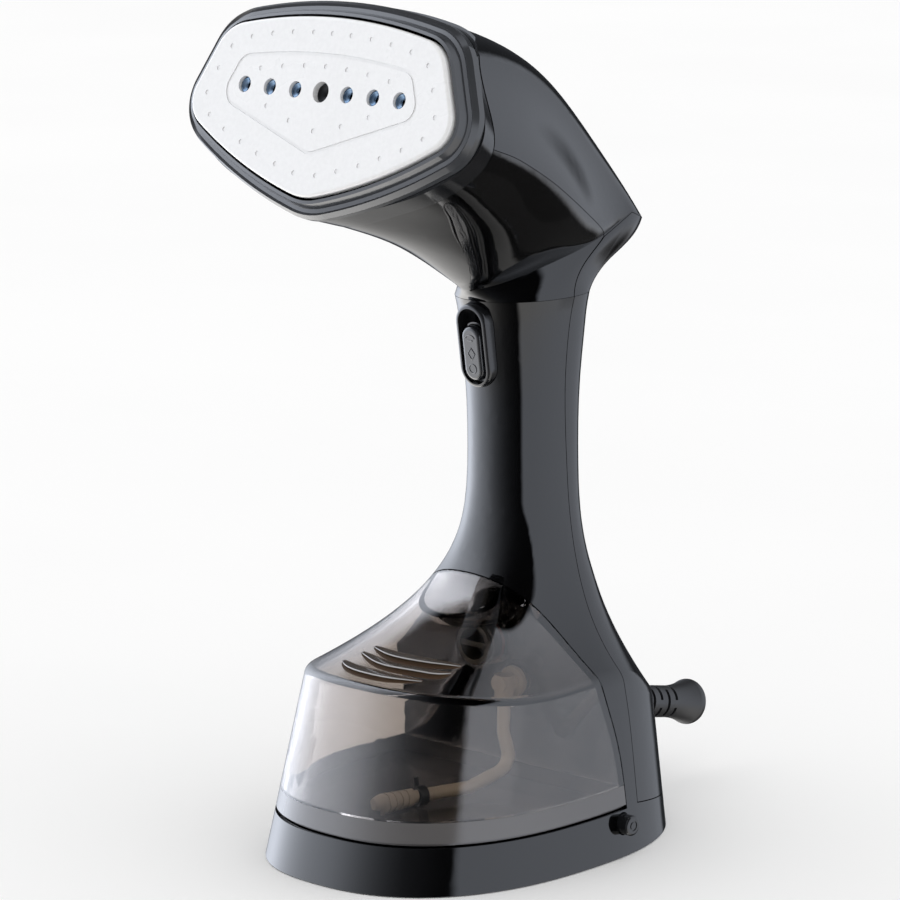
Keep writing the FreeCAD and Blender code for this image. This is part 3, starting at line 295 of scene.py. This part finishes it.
def lathe(name, profile, place, axis):
    """A ring solid: the closed profile of (radius, height) pairs turned about an axis."""
    steps = 32
    side = axis.orthogonal().normalized()
    other = axis.cross(side)
    vertices = []
    for k in range(steps):
        angle = 2 * math.pi * k / steps
        out = side * math.cos(angle) + other * math.sin(angle)
        vertices += [place + out * radius + axis * height for radius, height in profile]
    count = len(profile)
    faces = []
    for k in range(steps):
        for i in range(count):
            j = (i + 1) % count
            a, b = k * count, ((k + 1) % steps) * count
            faces.append((a + i, a + j, b + j, b + i))
    return mesh_from(name, vertices, faces)


def surface_tree(node):
    """A lookup of the node's surface, for laying details on it."""
    mesh_data = NODES[node].data
    vertices = [v.co.copy() for v in mesh_data.vertices]
    return BVHTree.FromPolygons(vertices, [tuple(p.vertices) for p in mesh_data.polygons])


# ---- steam plate: nozzles in the holes --------------------------------------------------
PLATE_CROWN = 23.6 * MM        # from the middle of the plate up to its arched top
PLATE_FOOT = 33.3 * MM         # and down to its pointed foot
# Radius, and height from the plate's face, in mm.
NOZZLE_PROFILE = ((2.5, -0.7), (2.2, -0.9), (1.5, -1.5), (0.9, -1.6), (0.75, -2.0), (0.75, -2.6),
                  (2.5, -2.6))
# The middle hole's funnel, black as painted shade for the dark deep hole.
SHADE_WELL_PROFILE = ((3.2, -1.6), (2.9, -1.9), (2.2, -2.7), (0.4, -2.8), (0.4, -2.95), (3.2, -2.95))


def plate_centre():
    """Middle of the row of steam holes, worked out from the plate's box."""
    low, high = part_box("steam_plate")
    return Vector((0, low.y + PLATE_FOOT * PLATE_UP.y, high.z - PLATE_CROWN * PLATE_UP.z))


def add_nozzles():
    """A turned steel nozzle low in each hole; the middle hole gets a black funnel, painted shade for its
    dark depth.
    """
    centre = plate_centre()
    for k in range(-3, 4):
        shape = SHADE_WELL_PROFILE if k == 0 else NOZZLE_PROFILE
        scaled = [(radius * MM, height * MM) for radius, height in shape]
        place = centre + Vector((k * HOLE_PITCH, 0, 0))
        name = "nozzle_%d" % (k + 3)
        mesh_data = lathe(name, scaled, place, PLATE_OUT)
        # painted shade: the middle hole's funnel is black to stand for the shade deep inside
        if k == 0:
            mesh_piece(name, mesh_data, "body", "clip_black")
        else:
            mesh_piece(name, mesh_data, "body", "steel", finish="nozzle_blue")


# ---- tank: three crescent louvres on the front shoulder --------------------------------
# Back edge of each louvre over the shoulder, (x, y) in mm from left to right.
LOUVRES = (((-14, -43), (-4, -45.2), (9, -45.2), (20, -42.6)),
           ((-11, -37.4), (4, -39.8), (18, -36.6), (24, -33.5)),
           ((-9, -33.7), (3, -34.7), (14, -32.9), (24, -28.9)))
LOUVRE_REACH = 4.4 * MM
LOUVRE_THICK = 0.4 * MM
LOUVRE_BEAD = 0.26 * MM        # rounded edge of a blade
LOUVRE_DROP = 0.04             # fall of a blade towards its edge, as a share of its reach
BLADE_BURY = 0.3 * MM          # how far a blade's back sinks into the shell
BLADE_BEVEL = 0.15 * MM
PAINTED_SHADE_SHARES = (0.05, 0.5, 0.95, 1.25)   # across the painted shade strip under a blade, in reaches
PAINTED_SHADE_TOP, PAINTED_SHADE_BOTTOM = 0.12 * MM, 0.02 * MM


def smooth_path(points, steps):
    """Points on a Catmull-Rom curve through the given ones."""
    chain = [2 * points[0] - points[1]] + list(points) + [2 * points[-1] - points[-2]]
    result = []
    for k in range(len(points) - 1):
        a, b, c, d = chain[k:k + 4]
        for i in range(steps):
            t = i / steps
            result.append(0.5 * (2 * b + (c - a) * t + (2 * a - 5 * b + 4 * c - d) * t ** 2
                                 + (3 * b - a - 3 * c + d) * t ** 3))
    return result + [points[-1].copy()]


def add_louvres():
    """A see-through blade, a dark strip of painted shade under it and a bead along its edge painted
    light grey as a highlight.
    """
    tree = surface_tree("tank_shell")
    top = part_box("tank_shell")[1].z + 0.01

    def on_shoulder(x, y):
        return tree.ray_cast(Vector((x, y, top)), Vector((0, 0, -1)))[0].z

    for number, points in enumerate(LOUVRES):
        path = smooth_path([Vector((x * MM, y * MM, 0)) for x, y in points], 10)
        blade, shade, bead = [], [], []
        for k, spot in enumerate(path):
            t = k / (len(path) - 1)
            size = max(math.sin(math.pi * (0.02 + 0.96 * t)), 0) ** 0.6
            near, far = path[max(k - 1, 0)], path[min(k + 1, len(path) - 1)]
            along = (far - near).normalized()
            out = Vector((along.y, -along.x, 0))
            reach = LOUVRE_REACH * size
            back = Vector((spot.x, spot.y, on_shoulder(spot.x, spot.y)))
            edge = back + out * reach
            edge.z = back.z - LOUVRE_DROP * reach
            thick = Vector((0, 0, LOUVRE_THICK * (0.3 + 0.7 * size)))
            root, lip = back - out * BLADE_BURY, edge - out * BLADE_BEVEL
            blade.append([root, lip, edge - thick * 0.4, lip - thick, root - thick])
            # painted highlight: a bead on the blade's rounded edge, coloured light for its glint
            radius = LOUVRE_BEAD * (0.25 + 0.75 * size)
            bead.append([edge + (out * math.cos(a) + Vector((0, 0, 1)) * math.sin(a)) * radius
                         for a in (math.pi * i / 4 for i in range(8))])
            # painted shade: a thin dark sheet on the shoulder under the blade, in place of its shadow
            under, over = [], []
            for share in PAINTED_SHADE_SHARES:
                place = back + out * reach * share
                height = on_shoulder(place.x, place.y)
                over.append(Vector((place.x, place.y, height + PAINTED_SHADE_TOP)))
                under.append(Vector((place.x, place.y, height + PAINTED_SHADE_BOTTOM)))
            shade.append(over + under[::-1])
        for kind, sections, smooth, finish in (("louvre", blade, False, "tank_louvre"),
                                               ("louvre_painted_shade", shade, False, "louvre_painted_shade"),
                                               ("louvre_edge_painted_highlight", bead, True, "louvre_edge_painted_highlight")):
            name = "%s_%d" % (kind, number)
            mesh_piece(name, strip_solid(name, sections), "tank", "tank_clear", smooth, finish)


# ---- thumb switch: raised generic marks ------------------------------------------------
MARK_BEAD = 0.22 * MM
MARK_OFFSET = 0.55             # outer marks from the button's middle, in half lengths
RING_RADIUS = 1.5 * MM
ARC_WIDTH, ARC_HEIGHT, ARC_DROP = 2.0 * MM, 1.6 * MM, 0.4 * MM
BAR_HALF_LENGTH, BAR_DROP = 1.0 * MM, 0.6 * MM
DIAMOND_WIDTH, DIAMOND_HEIGHT = 1.5 * MM, 2.0 * MM


def raised_line(name, points, closed):
    """A thin half-sunk bead along the points, on the steam button."""
    sides = 8
    rings = []
    count = len(points)
    for k, spot in enumerate(points):
        before = points[(k - 1) % count] if closed else points[max(k - 1, 0)]
        after = points[(k + 1) % count] if closed else points[min(k + 1, count - 1)]
        along = (after - before).normalized()
        side = along.cross(SWITCH_OUT).normalized()
        rings.append([spot + (side * math.cos(a) + SWITCH_OUT * math.sin(a)) * MARK_BEAD
                      for a in (2 * math.pi * i / sides for i in range(sides))])
    if closed:
        vertices = [p for ring in rings for p in ring]
        faces = []
        for k in range(count):
            a, b = k * sides, ((k + 1) % count) * sides
            faces += [(a + i, a + (i + 1) % sides, b + (i + 1) % sides, b + i) for i in range(sides)]
        mesh_data = mesh_from(name, vertices, faces)
    else:
        mesh_data = strip_solid(name, rings)
    mesh_piece(name, mesh_data, "button", "switch_grey")


def add_switch_marks():
    """A ring, a diamond, and an arc over a bar, one above another."""
    low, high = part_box("steam_button")
    middle = (low + high) / 2
    tree = surface_tree("steam_button")

    def on_button(across, up):
        start = middle + Vector((across, 0, 0)) + SWITCH_UP * up + SWITCH_OUT * 0.05
        return tree.ray_cast(start, -SWITCH_OUT)[0]

    half_length = (high.z - low.z) / 2
    steps = 20
    upper, lower = MARK_OFFSET * half_length, -MARK_OFFSET * half_length
    ring_points = [on_button(RING_RADIUS * math.cos(a), lower + RING_RADIUS * math.sin(a))
                   for a in (2 * math.pi * k / steps for k in range(steps))]
    arc_points = [on_button(ARC_WIDTH * math.cos(a), upper - ARC_DROP + ARC_HEIGHT * math.sin(a))
                  for a in (math.pi * (0.1 + 0.8 * k / steps) for k in range(steps + 1))]
    bar_points = [on_button(BAR_HALF_LENGTH * (2 * k / 6 - 1), upper - BAR_DROP) for k in range(7)]
    corners = ((0, DIAMOND_HEIGHT), (DIAMOND_WIDTH, 0), (0, -DIAMOND_HEIGHT), (-DIAMOND_WIDTH, 0))
    diamond = []
    for (x0, z0), (x1, z1) in zip(corners, corners[1:] + corners[:1]):
        diamond += [on_button(x0 + (x1 - x0) * k / 4, z0 + (z1 - z0) * k / 4) for k in range(4)]
    raised_line("mark_ring", ring_points, True)
    raised_line("mark_diamond", diamond, True)
    raised_line("mark_arc", arc_points, False)
    raised_line("mark_bar", bar_points, False)


# ---- springs behind the release buttons and the steam button ---------------------------
COIL_RADIUS, COIL_WIRE, COIL_PITCH = 1.6 * MM, 0.3 * MM, 1.5 * MM
LEAF_WIDTH, LEAF_THICK = 2.4 * MM, 0.3 * MM
LEAF_HALF_LENGTH, LEAF_HALF_HEIGHT = 1.6 * MM, 1.825 * MM
COIL_STEPS = 24            # sections in each turn


def add_catch_spring(side_name, side):
    """Coil spring behind one release button, wound from the post outwards."""
    low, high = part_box("release_spring_" + side_name)
    middle = (low + high) / 2
    length = high.x - low.x - 2 * COIL_WIRE
    seat = Vector((middle.x - side * length / 2, middle.y, middle.z))
    steps = round(length / COIL_PITCH * COIL_STEPS)
    sections = []
    for k in range(steps + 1):
        angle = 2 * math.pi * k / COIL_STEPS
        out = Vector((0, math.cos(angle), math.sin(angle)))
        spot = seat + out * COIL_RADIUS + Vector((side * length * k / steps, 0, 0))
        sections.append([spot + (out * math.cos(a) + Vector((1, 0, 0)) * math.sin(a)) * COIL_WIRE
                         for a in (math.pi * i / 4 for i in range(8))])
    name = "catch_spring_" + side_name
    piece = mesh_piece(name, strip_solid(name, sections), "body", "steel")
    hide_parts("release_spring_" + side_name)
    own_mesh(piece)


def add_leaf_spring():
    """Folded strip between the switch tray and the steam button."""
    low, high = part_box("button_spring")
    middle = (low + high) / 2
    length, height = LEAF_HALF_LENGTH - 0.1 * MM, LEAF_HALF_HEIGHT - LEAF_THICK
    folds = ((-length, -height), (0, -height), (length, -height), (0, 0), (-length, height),
             (0, height), (length, height))
    path = smooth_path([middle + SWITCH_UP * up + SWITCH_OUT * out for up, out in folds], 8)
    half = Vector((LEAF_WIDTH / 2, 0, 0))
    sections = []
    for k, spot in enumerate(path):
        along = (path[min(k + 1, len(path) - 1)] - path[max(k - 1, 0)]).normalized()
        thick = along.cross(half).normalized() * LEAF_THICK / 2
        sections.append([spot - half - thick, spot + half - thick,
                         spot + half + thick, spot - half + thick])
    piece = mesh_piece("leaf_spring", strip_solid("leaf_spring", sections), "carriage", "steel", False)
    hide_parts("button_spring")
    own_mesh(piece)


add_nozzles()
add_louvres()
add_switch_marks()
add_catch_spring("left", -1)
add_catch_spring("right", 1)
add_leaf_spring()


# ---- studio ----------------------------------------------------------------------------
def add_camera():
    towards = Vector((math.sin(VIEW_AZIMUTH) * math.cos(VIEW_ELEVATION),
                      -math.cos(VIEW_AZIMUTH) * math.cos(VIEW_ELEVATION), math.sin(VIEW_ELEVATION)))
    right = Vector((math.cos(VIEW_AZIMUTH), math.sin(VIEW_AZIMUTH), 0))
    up = towards.cross(right)
    data = bpy.data.cameras.new("view_camera")
    data.lens = LENS
    data.sensor_width = 36.0
    data.clip_start = 0.05
    camera = bpy.data.objects.new("view_camera", data)
    turn = Matrix((right, up, towards)).transposed().to_4x4()
    camera.matrix_world = Matrix.Translation(CAMERA_PLACE) @ turn
    bpy.context.scene.collection.objects.link(camera)
    bpy.context.scene.camera = camera


def math_node(tree, operation, first, second=None):
    node = tree.nodes.new("ShaderNodeMath")
    node.operation = operation
    for socket, value in zip(node.inputs, (first, second)):
        if value is None:
            continue
        if isinstance(value, (int, float)):
            socket.default_value = value
        else:
            tree.links.new(value, socket)
    return node.outputs[0]


# The studio, as shiny surfaces see it. Bearings are in degrees from the front (-Y) towards
# the right side (+X). A bright softbox stands at the left and fades towards the camera, a
# second one with a clean near edge stands at the right and fades towards the back.
LEFT_BEARING, LEFT_LEVEL, LEFT_FADE, LEFT_BACK_FADE = -82, 4.5, 61, 32
RIGHT_EDGE, RIGHT_LEVEL, RIGHT_FULL, RIGHT_FADE = 58, 1.8, 100, 85
LEFT_TOP, LEFT_TOP_SLANT = 102, 0.6     # the left box's top edge falls away towards the back
EDGE_SOFTNESS = 10
EDGE_LEAN = 1.1            # how far the right box's near edge leans back with height
CARD_START, CARD_END = 190, 226         # a black card behind, which darkens the edges
BOUNCE_LEVEL = 0.45        # paper below the object, at its left
BACK_BEARING = 128         # past this the paper is in the object's own shade
ROOM_LEVEL = 1.0
LOW_START, LOW_FULL = 14, 30            # degrees below level where the light turns neutral
UNDER_START, UNDER_FULL = 18, 25        # and where the object's own shade begins
SHADE_DEPTH, CARD_DEPTH = 0.95, 0.9
BOUNCE_BEARING = 80
BACK_SOFTNESS = 20
WRAP_BEARING = -110
COOL_TINT = (0.92, 0.975, 1.09, 1)
NEUTRAL_TINT = (1.0, 0.985, 0.965, 1)


def add_world():
    """White room; shiny surfaces see two tall softboxes with a dark gap between them."""
    world = bpy.data.worlds.new("studio")
    bpy.context.scene.world = world
    world.use_nodes = True
    tree = world.node_tree
    background = tree.nodes["Background"]
    place = tree.nodes.new("ShaderNodeTexCoord")
    split = tree.nodes.new("ShaderNodeSeparateXYZ")
    tree.links.new(place.outputs["Generated"], split.inputs[0])
    x, y, z = split.outputs

    def calc(operation, first, second=None):
        return math_node(tree, operation, first, second)

    def step(source, low, high):
        """0 below low and 1 above high."""
        node = tree.nodes.new("ShaderNodeMapRange")
        node.interpolation_type = "SMOOTHSTEP"
        node.inputs["From Min"].default_value = low
        node.inputs["From Max"].default_value = high
        tree.links.new(source, node.inputs["Value"])
        return node.outputs["Result"]

    def bell(distance, width):
        """1 at no distance, falling away smoothly over the width."""
        share = calc("POWER", calc("DIVIDE", distance, width), 2.0)
        return calc("EXPONENT", calc("MULTIPLY", share, -1.0))

    bearing = calc("MULTIPLY", calc("ARCTAN2", x, calc("MULTIPLY", y, -1.0)), 180 / math.pi)
    height = calc("MULTIPLY", calc("ARCSINE", z), 180 / math.pi)
    depth = calc("MULTIPLY", height, -1.0)
    low = step(depth, LOW_START, LOW_FULL)
    under = step(depth, UNDER_START, UNDER_FULL)

    distance = calc("SUBTRACT", bearing, LEFT_BEARING)
    ahead = calc("GREATER_THAN", distance, 0.0)
    width = calc("ADD", LEFT_BACK_FADE, calc("MULTIPLY", ahead, LEFT_FADE - LEFT_BACK_FADE))
    slant = calc("ADD", height, calc("MULTIPLY", bearing, -LEFT_TOP_SLANT))
    below_top = calc("SUBTRACT", 1.0, step(slant, LEFT_TOP, LEFT_TOP + EDGE_SOFTNESS))
    left = calc("MULTIPLY", calc("MULTIPLY", bell(calc("ABSOLUTE", distance), width), below_top),
                LEFT_LEVEL)

    # Bearings past the back carry on beyond 180, so that the right box has no edge there.
    turned = calc("ADD", bearing, calc("MULTIPLY", calc("LESS_THAN", bearing, WRAP_BEARING), 360.0))
    lean = calc("MULTIPLY", calc("MAXIMUM", height, 0.0), EDGE_LEAN)
    near_edge = step(calc("SUBTRACT", turned, lean), RIGHT_EDGE, RIGHT_EDGE + EDGE_SOFTNESS)
    fade = bell(calc("MAXIMUM", calc("SUBTRACT", turned, RIGHT_FULL), 0.0), RIGHT_FADE)
    right = calc("MULTIPLY", calc("MULTIPLY", near_edge, fade), RIGHT_LEVEL)

    behind = step(calc("ABSOLUTE", bearing), BACK_BEARING, BACK_BEARING + BACK_SOFTNESS)
    shade = calc("SUBTRACT", 1.0, calc("MULTIPLY", calc("MULTIPLY", behind, under), SHADE_DEPTH))
    card = calc("MULTIPLY", step(turned, CARD_START, CARD_START + EDGE_SOFTNESS),
                calc("SUBTRACT", 1.0, step(turned, CARD_END, CARD_END + EDGE_SOFTNESS)))
    card = calc("MULTIPLY", card, calc("SUBTRACT", 1.0, under))
    shade = calc("MULTIPLY", shade, calc("SUBTRACT", 1.0, calc("MULTIPLY", card, CARD_DEPTH)))
    leftwards = step(calc("MULTIPLY", bearing, -1.0), BOUNCE_BEARING, BOUNCE_BEARING + BACK_SOFTNESS)
    bounce = calc("MULTIPLY", calc("MULTIPLY", low, leftwards), BOUNCE_LEVEL)
    boxes = calc("MULTIPLY", calc("ADD", calc("ADD", left, right), bounce), shade)

    path = tree.nodes.new("ShaderNodeLightPath")
    mirror = calc("MINIMUM", path.outputs["Glossy Depth"], 1.0)
    room = calc("MULTIPLY", calc("SUBTRACT", 1.0, mirror), ROOM_LEVEL)
    total = calc("ADD", calc("MULTIPLY", boxes, mirror), room)

    def blend(factor, first, second):
        node = tree.nodes.new("ShaderNodeMix")
        node.data_type = "RGBA"
        tree.links.new(factor, node.inputs["Factor"])
        for socket, value in ((node.inputs[6], first), (node.inputs[7], second)):
            if isinstance(value, tuple):
                socket.default_value = value
            else:
                tree.links.new(value, socket)
        return node.outputs[2]

    tint = blend(low, COOL_TINT, NEUTRAL_TINT)
    tree.links.new(blend(mirror, (1, 1, 1, 1), tint), background.inputs["Color"])
    tree.links.new(total, background.inputs["Strength"])


def add_floor():
    """A plain pale sheet that the steamer stands on."""
    mesh_data = bpy.data.meshes.new("floor")
    work = bmesh.new()
    bmesh.ops.create_grid(work, x_segments=2, y_segments=2, size=6.0)
    work.to_mesh(mesh_data)
    work.free()
    floor = bpy.data.objects.new("floor", mesh_data)
    floor.location = (0, 0, cad_low.z - 0.0001)
    bpy.context.scene.collection.objects.link(floor)
    material, tree, shader = new_material("floor_paper")
    shader.inputs["Specular IOR Level"].default_value = 0.0
    shader.inputs["Roughness"].default_value = 0.9
    tree.links.new(two_colours(tree, object_noise(tree, 3), (0.97, 0.97, 0.97), (0.985, 0.985, 0.985)),
                   shader.inputs["Base Color"])
    mesh_data.materials.append(material)
    floor.visible_glossy = False


add_camera()
add_world()
add_floor()
bpy.context.scene.view_settings.view_transform = "Standard"
